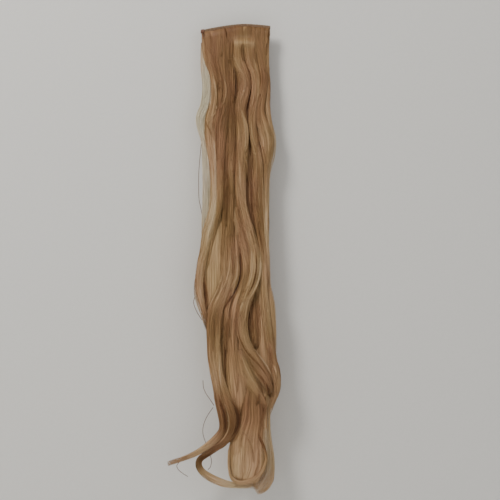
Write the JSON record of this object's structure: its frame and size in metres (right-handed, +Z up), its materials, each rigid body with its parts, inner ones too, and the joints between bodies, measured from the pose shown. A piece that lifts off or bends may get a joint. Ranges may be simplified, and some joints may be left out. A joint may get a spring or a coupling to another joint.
{
  "type": "hair weft",
  "caption": "Clip-in weft of long, loosely waved brown hair that falls from a narrow sewn band, with a closed snap clip behind the band.",
  "frame": {"origin": "middle of the snap clip's flat back, where the weft is held", "axes": "+Z up, with the hair falling towards -Z; -Y towards the front of the hair; +X towards the band's plain end, away from its wound end"},
  "size_m": [0.1464, 0.0364, 0.6005],
  "materials": {
    "hair": "satin",
    "band": "matte",
    "thread": "matte",
    "clip": "satin"
  },
  "bodies": {
    "root": {"hair_fall": "hair", "weft_band": "band", "end_knot": "thread", "snap_clip": "clip"}
  },
  "joints": []
}
